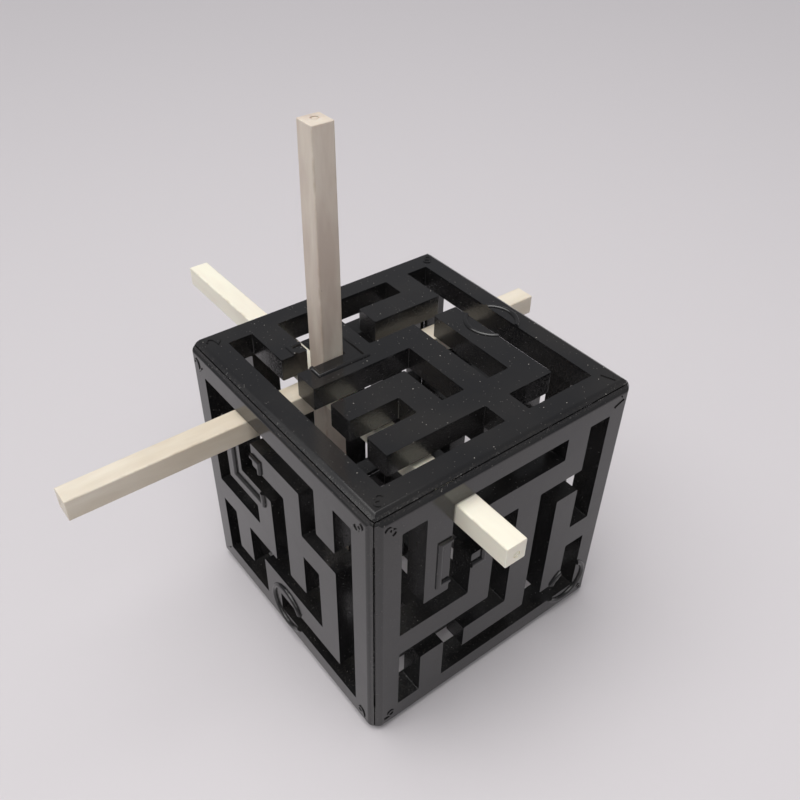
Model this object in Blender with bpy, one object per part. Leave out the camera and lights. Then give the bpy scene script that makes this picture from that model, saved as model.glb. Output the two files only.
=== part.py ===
# Hollow maze cube with a captive three-armed cross of square rods.
# Units are metres, +Z is up. The origin is on the base plane, under the middle of the cross.
import bpy
import bmesh
from mathutils import Matrix, Vector

# ---- driving dimensions ----
PITCH = 0.009                # distance between the middles of two neighbouring maze cells
CELLS = 9                    # maze cells along each side of a plate
SLOT_WIDTH = 0.0086          # width of a slot; a wall takes the rest of two pitches
CUBE_SIDE = 0.100            # over the outer faces
PLATE_THICKNESS = 0.008
EDGE_CHAMFER = 0.0027        # flat that breaks each outer edge of the cube
SEAM_GAP = 0.0003            # between two plates at their mitre

ROD_WIDTH = 0.0077           # square section of every rod
ROD_LENGTH = 0.1764          # the two level rods
ROD_EDGE = 0.0004            # broken edge along the rods
UPPER_REACH = 0.0878         # middle of the cross to the top of the upright rod
FLOOR_GAP = 0.0003           # lower end of the upright rod above the base plane
FIT_GAP = 0.0003             # between mating faces inside the cross
PEG_WIDTH = 0.0036           # square peg that locks the lap of the two level rods
PEG_GRIP = 0.005             # how far the peg enters the lower arm

# Cell that the cross stands in, counted from the middle cell of the cube, along X, Y and Z
CROSS_CELL = Vector((-2, 2, 4))

# Each maze is seen from outside its plate, first row at the top; '#' is wall and '.' is slot
TOP_MAZE = (
    ".#.....#.",
    ".#.#.###.",
    "...#.....",
    ".#####.#.",
    ".....#.#.",
    ".###.#.#.",
    "...#.#.#.",
    ".#######.",
    ".....#...",
)
LEFT_MAZE = (
    ".......#.",
    ".#.###.#.",
    ".#...#...",
    ".###.###.",
    "...#.#.#.",
    "####.#.#.",
    ".#.....#.",
    ".#.#####.",
    "...#.....",
)
FRONT_MAZE = (
    ".#.....#.",
    ".#.#####.",
    ".#...#...",
    ".#.#.#.#.",
    "...#.#.#.",
    "####.#.##",
    ".....#.#.",
    ".#.###.#.",
    ".#.......",
)

BLACK = (0.012, 0.012, 0.013)
IVORY = (0.80, 0.76, 0.67)

HALF = CUBE_SIDE / 2
CROSS_MIDDLE = Vector((0, 0, HALF + CROSS_CELL.z * PITCH))
CUBE_MIDDLE = CROSS_MIDDLE - CROSS_CELL * PITCH
ROD_HALF = ROD_WIDTH / 2
LOWER_REACH = CROSS_MIDDLE.z - FLOOR_GAP


def clear_scene():
    for item in list(bpy.data.objects):
        bpy.data.objects.remove(item, do_unlink=True)


def collection(name):
    group = bpy.data.collections.new(name)
    bpy.context.scene.collection.children.link(group)
    return group


def material(name, colour, roughness):
    finish = bpy.data.materials.new(name)
    finish.use_nodes = True
    shader = finish.node_tree.nodes["Principled BSDF"]
    shader.inputs["Base Color"].default_value = (*colour, 1)
    shader.inputs["Roughness"].default_value = roughness
    shader.inputs["Metallic"].default_value = 0
    return finish


def add_object(name, shape, group, finish=None):
    mesh = bpy.data.meshes.new(name)
    bmesh.ops.recalc_face_normals(shape, faces=shape.faces)
    shape.to_mesh(mesh)
    shape.free()
    item = bpy.data.objects.new(name, mesh)
    if finish:
        mesh.materials.append(finish)
    group.objects.link(item)
    return item


def hide_cutter(item):
    item.hide_render = True
    item.display_type = "WIRE"


def cut(item, cutter, name):
    step = item.modifiers.new(name, "BOOLEAN")
    step.operation = "DIFFERENCE"
    step.solver = "EXACT"
    step.object = cutter


def join(item, extra, name):
    step = item.modifiers.new(name, "BOOLEAN")
    step.operation = "UNION"
    step.solver = "EXACT"
    step.object = extra


def box(low, high, broken_edge=0.0):
    """A box between two corners, with its edges broken by a small flat if asked."""
    low, high = Vector(low), Vector(high)
    shape = bmesh.new()
    bmesh.ops.create_cube(shape, size=1)
    bmesh.ops.scale(shape, vec=high - low, verts=shape.verts)
    bmesh.ops.translate(shape, vec=(low + high) / 2, verts=shape.verts)
    if broken_edge:
        bmesh.ops.bevel(
            shape, geom=shape.edges[:], offset=broken_edge, segments=1, affect="EDGES"
        )
    return shape


# ---- the six maze plates ----

def grid_line(index):
    """Place of a maze grid line from the middle of the plate: slots and walls take turns."""
    wall_width = 2 * PITCH - SLOT_WIDTH
    slots, walls = (index + 1) // 2, index // 2
    start = -(CELLS // 2 * PITCH + SLOT_WIDTH / 2)
    return start + slots * SLOT_WIDTH + walls * wall_width


def slot_cutter(name, maze, group):
    """The open cells of one maze as a solid that runs past both faces of the plate."""
    shape = bmesh.new()
    half = CELLS / 2
    bmesh.ops.create_grid(shape, x_segments=CELLS, y_segments=CELLS, size=half)
    walls = []
    for face in shape.faces:
        middle = face.calc_center_median()
        column, row = int(middle.x + half), int(half - middle.y)
        if maze[row][column] == "#":
            walls.append(face)
    bmesh.ops.delete(shape, geom=walls, context="FACES")
    for vert in shape.verts:
        vert.co.x = grid_line(round(vert.co.x + half))
        vert.co.y = grid_line(round(vert.co.y + half))
        vert.co.z = HALF - 2 * PLATE_THICKNESS
    deep = bmesh.ops.extrude_face_region(shape, geom=shape.faces[:])
    raised = [part for part in deep["geom"] if isinstance(part, bmesh.types.BMVert)]
    bmesh.ops.translate(shape, vec=(0, 0, 3 * PLATE_THICKNESS), verts=raised)
    cutter = add_object(name, shape, group)
    hide_cutter(cutter)
    return cutter


def slice_away(shape, point, outward):
    """Cut the solid by a plane, drop what lies outside it and close the cut."""
    bmesh.ops.bisect_plane(
        shape,
        geom=shape.verts[:] + shape.edges[:] + shape.faces[:],
        dist=1e-7,
        plane_co=point,
        plane_no=outward,
        clear_outer=True,
    )
    open_edges = [edge for edge in shape.edges if edge.is_boundary]
    bmesh.ops.holes_fill(shape, edges=open_edges, sides=0)


def plate_blank():
    """One mitred side of the cube, with its outer face at the top, before its maze is cut."""
    shape = box((-HALF, -HALF, -HALF), (HALF, HALF, HALF), EDGE_CHAMFER)
    slice_away(shape, (0, 0, HALF - PLATE_THICKNESS), (0, 0, -1))
    for side in ((1, 0), (-1, 0), (0, 1), (0, -1)):
        mitre = Vector((*side, -1)).normalized()
        slice_away(shape, -mitre * SEAM_GAP / 2, mitre)
    return shape


def facing(right, up):
    """Turn from a plate's own axes (right, up, outward) to the cube's axes, in its place."""
    right, up = Vector(right), Vector(up)
    turn = Matrix((right, up, right.cross(up))).transposed().to_4x4()
    return Matrix.Translation(CUBE_MIDDLE) @ turn


def mirrored(maze):
    return tuple(row[::-1] for row in maze)


def flipped(maze):
    return maze[::-1]


def add_plate(name, maze, place, parts, cutters, finish):
    plate = add_object(name, plate_blank(), parts, finish)
    cutter = slot_cutter(name + "_slots", maze, cutters)
    plate.matrix_world = place
    cutter.matrix_world = place
    cut(plate, cutter, "maze slots")
    return plate


# ---- the cross ----

def add_pocket(name, low, high, cutters):
    """A box-shaped cut, given from the middle of the cross."""
    cutter = add_object(name, box(low, high), cutters)
    cutter.location = CROSS_MIDDLE
    hide_cutter(cutter)
    return cutter


def add_rod(name, low, high, parts, finish):
    """A square rod, given from the middle of the cross, with its own origin there."""
    rod = add_object(name, box(low, high, ROD_EDGE), parts, finish)
    rod.location = CROSS_MIDDLE
    return rod


def add_cross(parts, cutters, finish):
    reach = ROD_LENGTH / 2
    lap = ROD_HALF + FIT_GAP
    past = 2 * ROD_WIDTH
    hole_half = PEG_WIDTH / 2 + FIT_GAP

    # The X rod keeps its lower half at the crossing and the Y rod its upper half
    rod_x = add_rod(
        "rod_x", (-reach, -ROD_HALF, -ROD_HALF), (reach, ROD_HALF, ROD_HALF), parts, finish
    )
    rod_y = add_rod(
        "rod_y", (-ROD_HALF, -reach, -ROD_HALF), (ROD_HALF, reach, ROD_HALF), parts, finish
    )
    upper_lap = add_pocket(
        "upper_lap", (-lap, -past, -FIT_GAP / 2), (lap, past, past), cutters
    )
    lower_lap = add_pocket(
        "lower_lap", (-past, -lap, -past), (past, lap, FIT_GAP / 2), cutters
    )
    cut(rod_x, upper_lap, "lap")
    cut(rod_y, lower_lap, "lap")

    # One square hole through both laps and into the lower arm takes the upper arm's peg
    socket_depth = ROD_HALF + 2 * FIT_GAP + PEG_GRIP
    peg_hole = add_pocket(
        "peg_hole", (-hole_half, -hole_half, -socket_depth), (hole_half, hole_half, past), cutters
    )
    cut(rod_x, peg_hole, "peg hole")
    cut(rod_y, peg_hole, "peg hole")

    shoulder = ROD_HALF + FIT_GAP
    upper = add_rod(
        "rod_z_upper", (-ROD_HALF, -ROD_HALF, shoulder), (ROD_HALF, ROD_HALF, UPPER_REACH),
        parts, finish,
    )
    peg_half = PEG_WIDTH / 2
    peg = add_pocket(
        "peg", (-peg_half, -peg_half, -shoulder - PEG_GRIP + FIT_GAP),
        (peg_half, peg_half, shoulder + PEG_GRIP), cutters,
    )
    join(upper, peg, "peg")
    lower = add_rod(
        "rod_z_lower", (-ROD_HALF, -ROD_HALF, -LOWER_REACH), (ROD_HALF, ROD_HALF, -shoulder),
        parts, finish,
    )
    cut(lower, peg_hole, "peg socket")


def main():
    clear_scene()
    parts = collection("maze_cube_puzzle")
    cutters = collection("cutters")
    black = material("black_plastic", BLACK, 0.18)
    ivory = material("ivory_plastic", IVORY, 0.35)

    plates = (
        ("plate_top", TOP_MAZE, facing((1, 0, 0), (0, 1, 0))),
        ("plate_bottom", flipped(TOP_MAZE), facing((1, 0, 0), (0, -1, 0))),
        ("plate_left", LEFT_MAZE, facing((0, -1, 0), (0, 0, 1))),
        ("plate_right", mirrored(LEFT_MAZE), facing((0, 1, 0), (0, 0, 1))),
        ("plate_front", FRONT_MAZE, facing((1, 0, 0), (0, 0, 1))),
        ("plate_back", mirrored(FRONT_MAZE), facing((-1, 0, 0), (0, 0, 1))),
    )
    for name, maze, place in plates:
        add_plate(name, maze, place, parts, cutters, black)
    add_cross(parts, cutters, ivory)


main()
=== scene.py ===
from itertools import product
from math import cos, pi, radians

import bpy
from mathutils import Euler, Matrix, Vector


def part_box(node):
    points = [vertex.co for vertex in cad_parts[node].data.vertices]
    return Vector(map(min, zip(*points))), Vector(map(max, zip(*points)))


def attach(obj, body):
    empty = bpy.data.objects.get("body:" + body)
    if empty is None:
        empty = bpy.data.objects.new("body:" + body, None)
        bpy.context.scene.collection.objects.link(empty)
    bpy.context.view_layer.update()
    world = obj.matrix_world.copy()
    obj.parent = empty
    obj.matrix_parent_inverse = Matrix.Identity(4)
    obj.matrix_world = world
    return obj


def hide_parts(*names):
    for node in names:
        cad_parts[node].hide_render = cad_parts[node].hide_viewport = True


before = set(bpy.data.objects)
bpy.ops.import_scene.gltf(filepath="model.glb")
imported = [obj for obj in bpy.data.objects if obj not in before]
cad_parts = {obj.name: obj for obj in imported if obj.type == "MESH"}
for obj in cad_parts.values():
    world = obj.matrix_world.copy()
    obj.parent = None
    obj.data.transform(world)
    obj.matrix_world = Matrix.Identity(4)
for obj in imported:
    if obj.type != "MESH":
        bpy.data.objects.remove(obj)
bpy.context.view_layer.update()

mm = 0.001
touching = 0.01 * mm  # points nearer than this count as one place
mergeGap = 0.001 * mm


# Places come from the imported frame; the sizes of the finer shapes are in the dictionaries below

topLow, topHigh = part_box("plate_top")
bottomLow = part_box("plate_bottom")[0]
cubeSide = topHigh.z - bottomLow.z
cubeHalf = cubeSide / 2
cubeMiddle = Vector(((topLow.x + topHigh.x) / 2, (topLow.y + topHigh.y) / 2, bottomLow.z + cubeHalf))
rodXLow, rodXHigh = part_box("rod_x")
rodYLow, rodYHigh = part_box("rod_y")
crossMiddle = Vector((
    (rodYLow.x + rodYHigh.x) / 2, (rodXLow.y + rodXHigh.y) / 2, (rodXLow.z + rodXHigh.z) / 2))

maze = {
    "pitch": 9 * mm,
    "startCell": Vector((3.98, 0.03, -3.94)),  # where the cross goes in, in cells from the middle of the cube
    "finishCell": Vector((-1.96, 1.98, 1.97)),
}

# Each plate by the way it faces: to the right, up and outwards
plateSides = {
    "plate_top": (Vector((1, 0, 0)), Vector((0, 1, 0)), Vector((0, 0, 1))),
    "plate_bottom": (Vector((1, 0, 0)), Vector((0, -1, 0)), Vector((0, 0, -1))),
    "plate_left": (Vector((0, -1, 0)), Vector((0, 0, 1)), Vector((-1, 0, 0))),
    "plate_right": (Vector((0, 1, 0)), Vector((0, 0, 1)), Vector((1, 0, 0))),
    "plate_front": (Vector((1, 0, 0)), Vector((0, 0, 1)), Vector((0, -1, 0))),
    "plate_back": (Vector((-1, 0, 0)), Vector((0, 0, 1)), Vector((0, 1, 0))),
}
print("frame loaded: cube side", round(cubeSide / mm, 1), "mm")


# Small helpers for working as by hand

def selectOnly(*items):
    if bpy.context.mode != "OBJECT":
        bpy.ops.object.mode_set(mode="OBJECT")
    bpy.ops.object.select_all(action="DESELECT")
    for item in items:
        item.select_set(True)
    bpy.context.view_layer.objects.active = items[0]


def startEdit(item, choose="FACE"):
    selectOnly(item)
    bpy.ops.object.mode_set(mode="EDIT")
    bpy.ops.mesh.select_mode(type=choose)
    bpy.ops.mesh.select_all(action="DESELECT")


def endEdit():
    bpy.ops.object.mode_set(mode="OBJECT")


def pickFaces(item, wanted):
    startEdit(item, "FACE")
    endEdit()
    for face in item.data.polygons:
        face.select = wanted(face.center, face.normal)
    bpy.ops.object.mode_set(mode="EDIT")


def pickEdges(item, wanted):
    startEdit(item, "EDGE")
    endEdit()
    for edge in item.data.edges:
        edge.select = wanted(*(item.data.vertices[end].co for end in edge.vertices))
    bpy.ops.object.mode_set(mode="EDIT")


def settle(item):
    selectOnly(item)
    bpy.ops.object.transform_apply(location=True, rotation=True, scale=True)


def combine(item, other, operation, keepOther=False):
    step = item.modifiers.new(operation.lower(), "BOOLEAN")
    step.operation = operation
    step.solver = "EXACT"
    step.object = other
    selectOnly(item)
    bpy.ops.object.modifier_apply(modifier=step.name)
    if not keepOther:
        bpy.data.objects.remove(other, do_unlink=True)


def closeMesh(item, gap=2 * mergeGap):
    startEdit(item, "VERT")
    bpy.ops.mesh.select_all(action="SELECT")
    bpy.ops.mesh.remove_doubles(threshold=gap)
    bpy.ops.mesh.dissolve_degenerate(threshold=gap)
    endEdit()


def smoothFlats(item, angle=35):
    selectOnly(item)
    bpy.ops.object.shade_smooth_by_angle(angle=radians(angle))
    step = item.modifiers.new("flats", "WEIGHTED_NORMAL")
    step.keep_sharp = True
    bpy.ops.object.modifier_apply(modifier=step.name)


def boxBetween(low, high):
    bpy.ops.mesh.primitive_cube_add(size=1, location=(Vector(low) + Vector(high)) / 2)
    item = bpy.context.object
    item.scale = Vector(high) - Vector(low)
    settle(item)
    return item


# Floor, camera and lights

studio = {
    "floorSize": 12.0,
    "floorColour": (0.645, 0.618, 0.641),
    "floorRoughness": 0.6,
    "floorGrain": (300, 0.02 * mm),  # grains per metre and their depth
    "cameraFromCube": Vector((-1.34885, -1.66602, 2.07196)),  # in cube sides
    "cameraTurn": (49.5765, -1.1026, -37.8816),
    "lens": 38.306,
    "shift": (-0.00398, 0.02596),
    "nearClip": 0.01,
    "worldColour": (0.245, 0.245, 0.255),
}

bpy.ops.mesh.primitive_plane_add(
    size=studio["floorSize"], location=(cubeMiddle.x, cubeMiddle.y, bottomLow.z))
floor = bpy.context.object
floor.name = "floor"

camera = bpy.data.objects.new("camera", bpy.data.cameras.new("camera"))
bpy.context.scene.collection.objects.link(camera)
camera.location = cubeMiddle + studio["cameraFromCube"] * cubeSide
camera.rotation_euler = [radians(turn) for turn in studio["cameraTurn"]]
camera.data.lens = studio["lens"]
camera.data.shift_x, camera.data.shift_y = studio["shift"]
camera.data.clip_start = studio["nearClip"]
bpy.context.scene.camera = camera

# "from" is measured from the middle of the cube in metres, "spread" is in degrees
lights = {
    "room": {
        "kind": "SUN", "from": (-0.35, 0.1, 1.0), "strength": 1.75, "spread": 60,
        "colour": (1.0, 0.99, 0.975)},
    "overhead": {
        "kind": "AREA", "from": (0.02, 0.04, 0.8), "strength": 1.8, "size": (0.5, 0.5),
        "colour": (1.0, 0.985, 0.96)},
    "left": {
        "kind": "AREA", "from": (-0.6, 0.35, 0.6), "strength": 0.35, "size": (0.6, 0.5),
        "colour": (1.0, 1.0, 1.0)},
    "front": {
        "kind": "AREA", "from": (-0.2, -0.5, 0.62), "strength": 0.85, "size": (0.45, 0.45),
        "colour": (1.0, 0.99, 0.97)},
}


def addLight(name, says):
    lamp = bpy.data.lights.new(name, says["kind"])
    lamp.energy = says["strength"]
    lamp.color = says["colour"]
    if says["kind"] == "SUN":
        lamp.angle = radians(says["spread"])
    else:
        lamp.shape = "RECTANGLE"
        lamp.size, lamp.size_y = says["size"]
    item = bpy.data.objects.new(name, lamp)
    bpy.context.scene.collection.objects.link(item)
    away = Vector(says["from"])
    item.location = cubeMiddle + away
    item.rotation_euler = away.to_track_quat("Z", "Y").to_euler()


for lightName, says in lights.items():
    addLight(lightName, says)

world = bpy.data.worlds.new("studio")
world.use_nodes = True
world.node_tree.nodes["Background"].inputs["Color"].default_value = (*studio["worldColour"], 1)
bpy.context.scene.world = world
bpy.context.scene.view_settings.view_transform = "Standard"
print("floor, camera and lights made")


# Materials

def newMaterial(name):
    finish = bpy.data.materials.new(name)
    finish.use_nodes = True
    return finish, finish.node_tree.nodes["Principled BSDF"]


def addNode(finish, kind, spot, **settings):
    node = finish.node_tree.nodes.new(kind)
    node.location = (200 * spot[0], 200 * spot[1])
    for key, value in settings.items():
        setattr(node, key, value)
    return node


def link(finish, start, end):
    finish.node_tree.links.new(start, end)


def placeNode(finish, centre=(0, 0, 0), stretch=(1, 1, 1), row=0):
    place = addNode(finish, "ShaderNodeTexCoord", (-9, row))
    mapping = addNode(finish, "ShaderNodeMapping", (-8, row))
    mapping.vector_type = "POINT"
    mapping.inputs["Location"].default_value = [-part * size for part, size in zip(centre, stretch)]
    mapping.inputs["Scale"].default_value = stretch
    link(finish, place.outputs["Object"], mapping.inputs["Vector"])
    return mapping.outputs["Vector"]


def noise(finish, vector, scale, detail=2.0, row=0, column=-6):
    node = addNode(finish, "ShaderNodeTexNoise", (column, row))
    node.inputs["Scale"].default_value = scale
    node.inputs["Detail"].default_value = detail
    link(finish, vector, node.inputs["Vector"])
    return node.outputs["Fac"]


def spread(finish, value, low, high, newLow=0.0, newHigh=1.0, row=0, column=-5):
    node = addNode(finish, "ShaderNodeMapRange", (column, row))
    for key, amount in (("From Min", low), ("From Max", high), ("To Min", newLow), ("To Max", newHigh)):
        node.inputs[key].default_value = amount
    link(finish, value, node.inputs["Value"])
    return node.outputs["Result"]


def work(finish, operation, first, second=None, row=0, column=-4):
    node = addNode(finish, "ShaderNodeMath", (column, row), operation=operation)
    for socket, value in zip(node.inputs, (first, second)):
        if value is None:
            continue
        if isinstance(value, (int, float)):
            socket.default_value = value
        else:
            link(finish, value, socket)
    return node.outputs["Value"]


def blendColour(finish, factor, first, second, row=0, column=-2):
    node = addNode(finish, "ShaderNodeMix", (column, row), data_type="RGBA")
    link(finish, factor, node.inputs["Factor"])
    colourInputs = [socket for socket in node.inputs if socket.type == "RGBA"]
    for socket, value in zip(colourInputs, (first, second)):
        if isinstance(value, tuple):
            socket.default_value = (*value, 1)
        else:
            link(finish, value, socket)
    return next(socket for socket in node.outputs if socket.type == "RGBA")


def bump(finish, height, distance, strength=1.0, after=None, row=0, column=-1):
    node = addNode(finish, "ShaderNodeBump", (column, row))
    node.inputs["Strength"].default_value = strength
    node.inputs["Distance"].default_value = distance
    link(finish, height, node.inputs["Height"])
    if after is not None:
        link(finish, after, node.inputs["Normal"])
    return node.outputs["Normal"]


def scatter(finish, place, says, row):
    cells = addNode(finish, "ShaderNodeTexVoronoi", (-6, row))
    cells.inputs["Scale"].default_value = says["perMetre"]
    link(finish, place, cells.inputs["Vector"])
    shade = noise(finish, place, says["patch"], detail=3, row=row + 1)
    size = spread(finish, shade, *says["where"], 0.0, says["size"], row=row + 1)
    return work(finish, "LESS_THAN", cells.outputs["Distance"], size, row=row)


# Grains are per metre; "where" is the part of the noise, from 0 to 1, over which a mark comes in
blackLook = {
    "colour": (0.010, 0.010, 0.011),
    "dusty": (0.017, 0.016, 0.0155),
    "haze": {"grain": 38, "where": (0.42, 0.72), "duller": (0.35, 0.75)},
    "speck": (0.25, 0.235, 0.215),
    "specks": {"perMetre": 480, "where": (0.49, 0.66), "size": 0.13, "patch": 700},
    "speckOnSides": 0.22,  # how much of a speck shows away from the top and bottom
    "faintSpeck": (0.075, 0.070, 0.065),
    "faintSpecks": {"perMetre": 900, "where": (0.46, 0.66), "size": 0.20, "patch": 1500},
    "scuff": (0.075, 0.072, 0.07),
    "scuffs": {"grain": 750, "where": (0.62, 0.69), "depth": 0.04 * mm},
    "sandy": (0.024, 0.022, 0.020),
    "sand": {"grain": 1700, "where": (0.5, 0.68), "depth": 0.02 * mm},
    "outside": (0.10, 0.23),  # roughness, from the cleanest spots to the duller ones
    "inSlots": 0.06,  # more on the walls of the slots
    "onMarks": 0.4,  # more on specks and scuffs
    "ior": 1.57,
    "slotsFrom": (0.9 * mm, 0.4 * mm),  # these three are depths below the outside of the cube
    "edgesFrom": (2.6 * mm, 1.3 * mm),
    "topFrom": (3 * mm, 1 * mm),
    "sink": {"grain": 55, "depth": 0.14 * mm},  # slow waves in the moulding
    "peel": {"grain": 900, "depth": 0.008 * mm},
}


def depthRange(name):
    return [cubeHalf - depth for depth in blackLook[name]]


def makeBlackPlastic():
    finish, shader = newMaterial("blackPlastic")
    place = placeNode(finish, centre=cubeMiddle)

    # how far out a point is, and how near it is to an edge of the cube, both in metres
    parts = addNode(finish, "ShaderNodeSeparateXYZ", (-7, 8))
    link(finish, place, parts.inputs["Vector"])
    across, along, up = [
        work(finish, "ABSOLUTE", parts.outputs[way], row=8 + step, column=-6) for step, way in enumerate("XYZ")]
    level = work(finish, "MAXIMUM", across, along, row=8, column=-5)
    furthest = work(finish, "MAXIMUM", level, up, row=9, column=-5)
    levelLeast = work(finish, "MINIMUM", across, along, row=10, column=-5)
    second = work(finish, "MAXIMUM", levelLeast, work(finish, "MINIMUM", level, up, row=11, column=-5), row=10)
    inside = spread(finish, furthest, *depthRange("slotsFrom"), 1, 0, row=9, column=-4)
    nearEdge = spread(finish, second, *depthRange("edgesFrom"), 0, 1, row=10, column=-3)
    onTop = spread(finish, up, *depthRange("topFrom"), blackLook["speckOnSides"], 1, row=7, column=-5)

    haze = noise(finish, place, blackLook["haze"]["grain"], detail=6, row=2)
    dusty = spread(finish, haze, *blackLook["haze"]["where"], row=2)
    tone = blendColour(finish, dusty, blackLook["colour"], blackLook["dusty"], row=2, column=-3)
    faint = scatter(finish, place, blackLook["faintSpecks"], 4)
    tone = blendColour(finish, faint, tone, blackLook["faintSpeck"], row=4, column=-3)
    bright = work(finish, "MULTIPLY", scatter(finish, place, blackLook["specks"], 6), onTop, row=7)
    tone = blendColour(finish, bright, tone, blackLook["speck"], row=6, column=-3)
    scuffs = blackLook["scuffs"]
    marks = spread(finish, noise(finish, place, scuffs["grain"], detail=4, row=12), *scuffs["where"], row=12)
    worn = work(finish, "MULTIPLY", nearEdge, marks, row=12)
    tone = blendColour(finish, worn, tone, blackLook["scuff"], row=8, column=-2)
    sand = noise(finish, place, blackLook["sand"]["grain"], detail=4, row=14)
    grains = work(finish, "MULTIPLY", inside, spread(finish, sand, *blackLook["sand"]["where"], row=14), row=14)
    tone = blendColour(finish, grains, tone, blackLook["sandy"], row=10, column=-1)
    link(finish, tone, shader.inputs["Base Color"])

    rough = spread(finish, haze, *blackLook["haze"]["duller"], *blackLook["outside"], row=0)
    slotRough = work(finish, "MULTIPLY", inside, blackLook["inSlots"], row=1)
    rough = work(finish, "ADD", rough, slotRough, row=0, column=-3)
    allMarks = work(finish, "MAXIMUM", work(finish, "MAXIMUM", faint, bright, row=5), worn, row=6, column=-3)
    markRough = work(finish, "MULTIPLY", allMarks, blackLook["onMarks"], row=1, column=-3)
    link(finish, work(finish, "ADD", rough, markRough, row=0, column=-2), shader.inputs["Roughness"])
    shader.inputs["IOR"].default_value = blackLook["ior"]

    sink, peel = blackLook["sink"], blackLook["peel"]
    waves = bump(finish, noise(finish, place, sink["grain"], row=-2), sink["depth"], row=-2, column=-3)
    skin = noise(finish, place, peel["grain"], detail=3, row=-3)
    relief = bump(finish, skin, peel["depth"], after=waves, row=-3, column=-2)
    relief = bump(finish, worn, -scuffs["depth"], after=relief, row=-4)
    relief = bump(finish, grains, blackLook["sand"]["depth"], after=relief, row=-4, column=0)
    link(finish, relief, shader.inputs["Normal"])
    return finish


ivoryLook = {
    # X, Y and Z: one ivory plastic given a lighter or darker base colour per rod as painted light and shade; the
    # Y rod is painted brightest, the Z rod darkest
    "X": (0.67, 0.59, 0.475),
    "Y": (0.92, 0.885, 0.75),
    "Z": (0.60, 0.505, 0.43),
    "pale": (0.84, 0.78, 0.67),
    "mottle": {"grain": 130, "where": (0.38, 0.68), "most": 0.8, "rougher": (0.3, 0.7)},
    "grime": (0.40, 0.31, 0.22),
    "grimeFrom": (3.0 * mm, 3.7 * mm),  # from the middle line of the rod, in both ways across it
    "grimePatches": {"grain": 210, "where": (0.46, 0.66), "most": 0.55},
    "speck": (0.30, 0.22, 0.16),
    "specks": {"perMetre": 300, "where": (0.60, 0.80), "size": 0.12, "patch": 150},
    "rough": (0.30, 0.48),
    "glow": 0.10,
    "glowColours": (1.0, 0.65, 0.4),
    "glowDepth": 1.2 * mm,
    "lines": {"grain": 700, "depth": 0.012 * mm},
    "fine": {"grain": 1400, "depth": 0.008 * mm},
    "drawnOut": 0.2,  # along the rod, the grain is this much coarser
}


def makeIvoryPlastic(along):
    finish, shader = newMaterial("ivoryPlasticShadedPerRod" + along)
    stretch = tuple(ivoryLook["drawnOut"] if way == along else 1 for way in "XYZ")
    place = placeNode(finish, centre=crossMiddle)
    grain = placeNode(finish, centre=crossMiddle, stretch=stretch, row=3)
    says = ivoryLook["mottle"]
    mottle = noise(finish, grain, says["grain"], detail=5, row=2)
    paleness = spread(finish, mottle, *says["where"], 0, says["most"], row=2)
    # the rod's own base colour here is painted light and shade, not a different plastic
    tone = blendColour(finish, paleness, ivoryLook[along], ivoryLook["pale"], row=2, column=-3)

    # grime gathers on the long edges: both coordinates across the rod are large there
    parts = addNode(finish, "ShaderNodeSeparateXYZ", (-7, 8))
    link(finish, place, parts.inputs["Vector"])
    sides = [
        work(finish, "ABSOLUTE", parts.outputs[way], row=8 + step, column=-6)
        for step, way in enumerate("XYZ") if way != along]
    least = work(finish, "MINIMUM", *sides, row=8, column=-5)
    edge = spread(finish, least, *ivoryLook["grimeFrom"], 0, 1, row=8, column=-4)
    patchy = ivoryLook["grimePatches"]
    dirt = noise(finish, place, patchy["grain"], detail=5, row=9)
    patches = spread(finish, dirt, *patchy["where"], 0, patchy["most"], row=9)
    grime = work(finish, "MULTIPLY", edge, patches, row=9, column=-3)
    tone = blendColour(finish, grime, tone, ivoryLook["grime"], row=8, column=-2)
    dots = scatter(finish, place, ivoryLook["specks"], 5)
    tone = blendColour(finish, dots, tone, ivoryLook["speck"], row=5, column=-1)
    link(finish, tone, shader.inputs["Base Color"])
    rough = spread(finish, mottle, *says["rougher"], *ivoryLook["rough"], row=0)
    link(finish, rough, shader.inputs["Roughness"])
    shader.inputs["Subsurface Weight"].default_value = ivoryLook["glow"]
    shader.inputs["Subsurface Radius"].default_value = ivoryLook["glowColours"]
    shader.inputs["Subsurface Scale"].default_value = ivoryLook["glowDepth"]
    lines, fine = ivoryLook["lines"], ivoryLook["fine"]
    drawn = noise(finish, grain, lines["grain"], detail=3, row=-2)
    relief = bump(finish, drawn, lines["depth"], row=-2, column=-3)
    skin = noise(finish, place, fine["grain"], detail=3, row=-3)
    link(finish, bump(finish, skin, fine["depth"], after=relief, row=-3), shader.inputs["Normal"])
    return finish


def makeFloorFinish():
    finish, shader = newMaterial("paleFloor")
    place = placeNode(finish)
    shader.inputs["Base Color"].default_value = (*studio["floorColour"], 1)
    shader.inputs["Roughness"].default_value = studio["floorRoughness"]
    grain, depth = studio["floorGrain"]
    link(finish, bump(finish, noise(finish, place, grain), depth), shader.inputs["Normal"])
    return finish


def paint(item, finish):
    item.data.materials.clear()
    item.data.materials.append(finish)


blackPlastic = makeBlackPlastic()
ivoryPlasticShadedPerRod = {along: makeIvoryPlastic(along) for along in "XYZ"}
paint(floor, makeFloorFinish())
print("materials made")


# The six plates: refined copies of the plain ones

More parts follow.
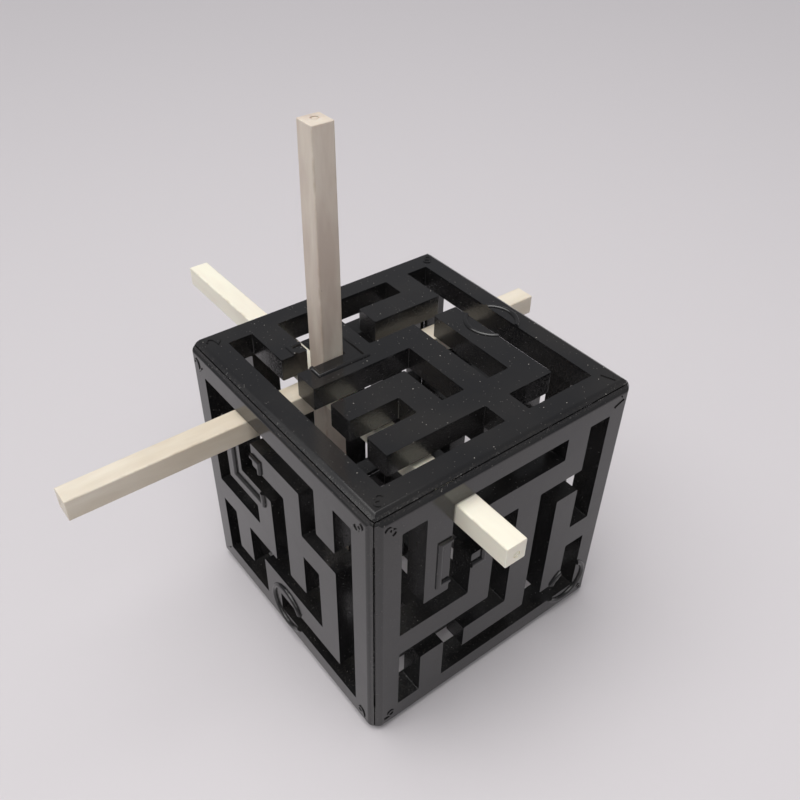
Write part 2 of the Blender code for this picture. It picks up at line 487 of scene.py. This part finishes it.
# Each round is its size and its number of steps
plateEdges = {
    "cornerRound": (0.42 * mm, 3),  # upright corners of the walls and slots
    "shoulderRound": (0.8 * mm, 4),  # where the broken edge of the cube meets its flats
    "rimRound": (0.22 * mm, 3),
    "seamRound": (0.22 * mm, 2),
    "flatWithin": 0.5,  # degrees between faces that are made one
    "sharpFrom": 20,  # degrees between faces whose edge may be rounded
    "uprightFrom": 0.99,  # cosine of the angle between an upright edge and the outward way
    "clearOfSeam": 1 * mm,
    "shoulderWithin": 3.5 * mm,  # of the seam
    "seamWithin": 0.3 * mm,
    "markShort": 0.05 * mm,  # how far a raised mark stops before the edge of a slot
    "markReach": 1 * mm,  # how far above the plate a raised mark may stand
    "slitWidth": 0.6 * mm,
    "slitDepth": 4 * mm,
    "slitFrom": -4.0,  # in maze cells from the middle
    "slitTo": 4.4,
}
ringMark = {"radius": 8.6 * mm, "around": 96, "across": 24}
squareMark = {"half": 8.8 * mm, "across": 24}
markBead = {"side": (2.0 * mm, 0.9 * mm), "top": (1.6 * mm, 0.7 * mm)}  # width and height of the raised line
numbers = {
    "size": 6.6 * mm,
    "height": 0.3 * mm,
    "fromMiddle": 43.6 * mm,
    "thinner": 0.06 * mm,
    "steps": 6,
    "figures": {  # by the corner of the cube, as the signs of x, y and z
        (-1, -1, -1): "6", (1, -1, -1): "5", (-1, 1, -1): "1", (1, 1, -1): "4",
        (-1, -1, 1): "3", (1, -1, 1): "7", (-1, 1, 1): "2", (1, 1, 1): "8"},
}


def faceTurn(right, up, outward):
    return Matrix((right, up, outward)).transposed().to_euler()


def faceSpot(cell, outward):
    offset = cell * maze["pitch"]
    return cubeMiddle + offset + outward * (cubeHalf - offset.dot(outward))


def plainPlate(name):
    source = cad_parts[name]
    item = bpy.data.objects.new(name + "_moulded", source.data.copy())
    bpy.context.scene.collection.objects.link(item)
    startEdit(item, "VERT")
    bpy.ops.mesh.select_all(action="SELECT")
    bpy.ops.mesh.remove_doubles(threshold=mergeGap)
    bpy.ops.mesh.dissolve_limited(angle_limit=radians(plateEdges["flatWithin"]))
    bpy.ops.mesh.customdata_custom_splitnormals_clear()
    endEdit()
    return item


def distanceFromSeam(point, outward):
    local = point - cubeMiddle
    depth = local.dot(outward)
    widest = max(abs(part) for part, way in zip(local, outward) if abs(way) < 0.5)
    return depth - widest


def roundEdges(item, size, steps, wanted):
    startEdit(item, "EDGE")
    bpy.ops.mesh.edges_select_sharp(sharpness=radians(plateEdges["sharpFrom"]))
    endEdit()
    sharp = {edge.index for edge in item.data.edges if edge.select}
    ends = {edge.index: [item.data.vertices[end].co.copy() for end in edge.vertices] for edge in item.data.edges}
    picked = {index for index in sharp if wanted(*ends[index])}
    startEdit(item, "EDGE")
    endEdit()
    for edge in item.data.edges:
        edge.select = edge.index in picked
    bpy.ops.object.mode_set(mode="EDIT")
    bpy.ops.mesh.bevel(offset=size, segments=steps, affect="EDGES", clamp_overlap=True)
    endEdit()


def roundPlate(item, outward):
    def depths(*points):
        return [cubeHalf - (point - cubeMiddle).dot(outward) for point in points]

    def seams(*points):
        return [distanceFromSeam(point, outward) for point in points]

    def upright(a, b):  # runs straight through the plate, away from the seams
        straight = abs((a - b).normalized().dot(outward)) > plateEdges["uprightFrom"]
        return straight and min(seams(a, b)) > plateEdges["clearOfSeam"]

    def shoulderLine(a, b):
        return max(depths(a, b)) < touching and max(seams(a, b)) < plateEdges["shoulderWithin"]

    def atSeam(a, b):
        return max(abs(gap) for gap in seams(a, b)) < plateEdges["seamWithin"]

    def rim(a, b):
        return not atSeam(a, b) and not shoulderLine(a, b)

    roundEdges(item, *plateEdges["cornerRound"], upright)
    roundEdges(item, *plateEdges["shoulderRound"], shoulderLine)
    roundEdges(item, *plateEdges["rimRound"], rim)
    roundEdges(item, *plateEdges["seamRound"], atSeam)


def makeRing(spot, turn, width, height):
    bpy.ops.mesh.primitive_torus_add(
        location=spot, rotation=turn, major_radius=ringMark["radius"], minor_radius=width / 2,
        major_segments=ringMark["around"], minor_segments=ringMark["across"])
    ring = bpy.context.object
    ring.scale.z = height / (width / 2)
    settle(ring)
    return ring


def makeSquare(spot, turn, width, height):
    corner = cos(radians(45))
    bpy.ops.mesh.primitive_torus_add(
        location=(0, 0, 0), rotation=(0, 0, radians(45)), major_radius=squareMark["half"] / corner,
        minor_radius=width / 2 / corner, major_segments=4, minor_segments=squareMark["across"])
    square = bpy.context.object
    square.scale.z = height / (width / 2 / corner)
    settle(square)
    square.location = spot
    square.rotation_euler = turn
    settle(square)
    return square


def makeNumber(figure, spot, turn):
    bpy.ops.object.text_add(location=(0, 0, 0))
    text = bpy.context.object
    text.data.body = figure
    text.data.size = numbers["size"]
    text.data.align_x = "CENTER"
    text.data.align_y = "CENTER"
    text.data.offset = -numbers["thinner"]
    text.data.extrude = numbers["height"]
    text.data.resolution_u = numbers["steps"]
    bpy.ops.object.convert(target="MESH")
    figureMesh = bpy.context.object
    startEdit(figureMesh, "VERT")
    bpy.ops.mesh.select_all(action="SELECT")
    bpy.ops.mesh.remove_doubles(threshold=mergeGap)
    bpy.ops.mesh.normals_make_consistent(inside=False)
    endEdit()
    figureMesh.location = spot
    figureMesh.rotation_euler = turn
    settle(figureMesh)
    return figureMesh


def trimFor(plate, outward):
    selectOnly(plate)
    bpy.ops.object.duplicate()
    trim = bpy.context.object
    startEdit(trim, "FACE")
    bpy.ops.mesh.select_all(action="SELECT")
    bpy.ops.transform.shrink_fatten(value=-plateEdges["markShort"])
    endEdit()
    trim.location = outward * plateEdges["markReach"]
    settle(trim)
    return trim


def makeMarks(trim, right, up, outward):
    turn = faceTurn(right, up, outward)
    bead = markBead["top" if outward.z > 0.5 else "side"]
    marks = [
        makeRing(faceSpot(maze["startCell"], outward), turn, *bead),
        makeSquare(faceSpot(maze["finishCell"], outward), turn, *bead)]
    for mark in marks:
        combine(mark, trim, "INTERSECT", keepOther=True)
    return marks


def makeNumbers(right, up, outward):
    figures = []
    for across, along in product((-1, 1), repeat=2):
        corner = outward + right * across + up * along
        figure = numbers["figures"][tuple(round(part) for part in corner)]
        top = (right * across + up * along).normalized()
        spot = cubeMiddle + outward * cubeHalf + (right * across + up * along) * numbers["fromMiddle"]
        figures.append(makeNumber(figure, spot, faceTurn(top.cross(outward), top, outward)))
    return figures


def cutSlits(item, outward):
    for across, along in product((-1, 1), repeat=2):
        way = Vector((across, along, 0))
        if way.dot(outward) < 0.5:
            continue
        low, high = (plateEdges[end] * maze["pitch"] for end in ("slitFrom", "slitTo"))
        bpy.ops.mesh.primitive_cube_add(size=1)
        slit = bpy.context.object
        slit.scale = (plateEdges["slitWidth"], 2 * plateEdges["slitDepth"], high - low)
        settle(slit)
        slit.rotation_euler = (0, 0, way.to_track_quat("Y", "Z").to_euler().z)
        slit.location = cubeMiddle + way * cubeHalf + Vector((0, 0, (low + high) / 2))
        settle(slit)
        combine(item, slit, "DIFFERENCE")


for plateName, (right, up, outward) in plateSides.items():
    plate = plainPlate(plateName)
    trim = trimFor(plate, outward)
    cutSlits(plate, outward)
    roundPlate(plate, outward)
    closeMesh(plate)
    if plateName != "plate_bottom":
        raised = makeMarks(trim, right, up, outward) + makeNumbers(right, up, outward)
        selectOnly(plate, *raised)
        bpy.ops.object.join()
    bpy.data.objects.remove(trim, do_unlink=True)
    smoothFlats(plate)
    paint(plate, blackPlastic)
    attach(plate, "cube")
    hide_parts(plateName)
    print("made", plate.name, len(plate.data.polygons), "faces")


# The cross: two level rods that lap at the middle, and an upright rod in two halves

rodShape = {
    "width": rodXHigh.z - rodXLow.z,
    "taper": 0.955,  # end width over middle width
    "longEdge": 1 * mm,  # an edge that rises more than this runs along the rod
    "endFacing": 0.9,  # cosine of the angle between the end face and the way of the rod
    "longRound": (0.5 * mm, 5),  # size and steps
    "endRound": (0.25 * mm, 3),
    "fit": 0.3 * mm,
    "peg": 3.6 * mm,
    "grip": 5 * mm,
    "overlap": 1 * mm,  # how far a cutter or a joined piece goes past the faces it meets
    "gateSides": 32,
    "gateRadius": 1.25 * mm,
    "gateDepth": 0.35 * mm,
    "gateAside": (0.3 * mm, 0.7 * mm),
    "nubRadius": 0.8 * mm,
    "nubShort": 0.1 * mm,  # how far the stub in the recess stops below the end face
    "nubRoot": 0.5 * mm,
}
shoulder = rodShape["width"] / 2 + rodShape["fit"]

# Each rod: its node, its direction, its two ends from the middle of the cross, and which ends are free
rods = {
    "rod_x_moulded": ("rod_x", "X", rodXLow.x - crossMiddle.x, rodXHigh.x - crossMiddle.x, (-1, 1)),
    "rod_y_moulded": ("rod_y", "Y", rodYLow.y - crossMiddle.y, rodYHigh.y - crossMiddle.y, (-1, 1)),
    "rod_z_upper_moulded": ("rod_z_upper", "Z", shoulder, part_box("rod_z_upper")[1].z - crossMiddle.z, (1,)),
    "rod_z_lower_moulded": ("rod_z_lower", "Z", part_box("rod_z_lower")[0].z - crossMiddle.z, -shoulder, (-1,)),
}
rodTurns = {"X": Euler((0, pi / 2, 0)), "Y": Euler((-pi / 2, 0, 0)), "Z": Euler((0, 0, 0))}


def runsAlong(a, b):
    return abs(a.z - b.z) > rodShape["longEdge"]


def makeBar(low, high, outerEnds):
    bpy.ops.mesh.primitive_cube_add(size=1, location=(0, 0, (low + high) / 2))
    bar = bpy.context.object
    bar.scale = (rodShape["width"], rodShape["width"], high - low)
    settle(bar)
    pickEdges(bar, runsAlong)
    bpy.ops.mesh.subdivide(number_cuts=1)
    endEdit()
    for end in outerEnds:
        pickFaces(bar, lambda centre, normal: normal.z * end > rodShape["endFacing"])
        bpy.ops.transform.resize(value=(rodShape["taper"], rodShape["taper"], 1))
        endEdit()
    pickEdges(bar, runsAlong)
    roundSize, steps = rodShape["longRound"]
    bpy.ops.mesh.bevel(offset=roundSize, segments=steps, affect="EDGES")
    endEdit()
    for end in outerEnds:
        endHeight = high if end > 0 else low
        pickEdges(bar, lambda a, b: max(abs(a.z - endHeight), abs(b.z - endHeight)) < touching)
        roundSize, steps = rodShape["endRound"]
        bpy.ops.mesh.bevel(offset=roundSize, segments=steps, affect="EDGES")
        endEdit()
        addGate(bar, endHeight, end)
    return bar


def addCylinder(radius, low, high):
    bpy.ops.mesh.primitive_cylinder_add(
        vertices=rodShape["gateSides"], radius=radius, depth=abs(high - low),
        location=(*rodShape["gateAside"], (low + high) / 2))
    return bpy.context.object


def addGate(bar, height, end):
    floorHeight = height - end * rodShape["gateDepth"]
    recess = addCylinder(rodShape["gateRadius"], floorHeight, height + end * rodShape["overlap"])
    combine(bar, recess, "DIFFERENCE")
    nubTop = height - end * rodShape["nubShort"]
    combine(bar, addCylinder(rodShape["nubRadius"], floorHeight - end * rodShape["nubRoot"], nubTop), "UNION")


def squareHole(width):
    half = width / 2
    reach = shoulder + rodShape["overlap"]
    return boxBetween((-half, -half, -reach), (half, half, reach))


def cutLap(bar, side):
    gap = rodShape["fit"] / 2
    far = 2 * rodShape["width"]
    low, high = (-gap, far) if side > 0 else (-far, gap)
    combine(bar, boxBetween((-shoulder, -shoulder, low), (shoulder, shoulder, high)), "DIFFERENCE")
    combine(bar, squareHole(rodShape["peg"] + 2 * rodShape["fit"]), "DIFFERENCE")


for rodName, (nodeName, along, low, high, outerEnds) in rods.items():
    bar = makeBar(low, high, outerEnds)
    bar.rotation_euler = rodTurns[along]
    settle(bar)
    pegHalf = rodShape["peg"] / 2
    if nodeName == "rod_x":
        cutLap(bar, 1)
    if nodeName == "rod_y":
        cutLap(bar, -1)
    if nodeName == "rod_z_upper":
        pegLow, pegHigh = -shoulder - rodShape["grip"], shoulder + rodShape["overlap"]
        combine(bar, boxBetween((-pegHalf, -pegHalf, pegLow), (pegHalf, pegHalf, pegHigh)), "UNION")
    if nodeName == "rod_z_lower":
        holeHalf = pegHalf + rodShape["fit"]
        holeEnd = -shoulder - rodShape["grip"] - rodShape["fit"]
        combine(bar, boxBetween((-holeHalf, -holeHalf, holeEnd), (holeHalf, holeHalf, 0)), "DIFFERENCE")
    bar.name = rodName
    bar.location = crossMiddle
    settle(bar)
    smoothFlats(bar)
    paint(bar, ivoryPlasticShadedPerRod[along])
    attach(bar, "cross")
    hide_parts(nodeName)
    print("made", bar.name, len(bar.data.polygons), "faces")
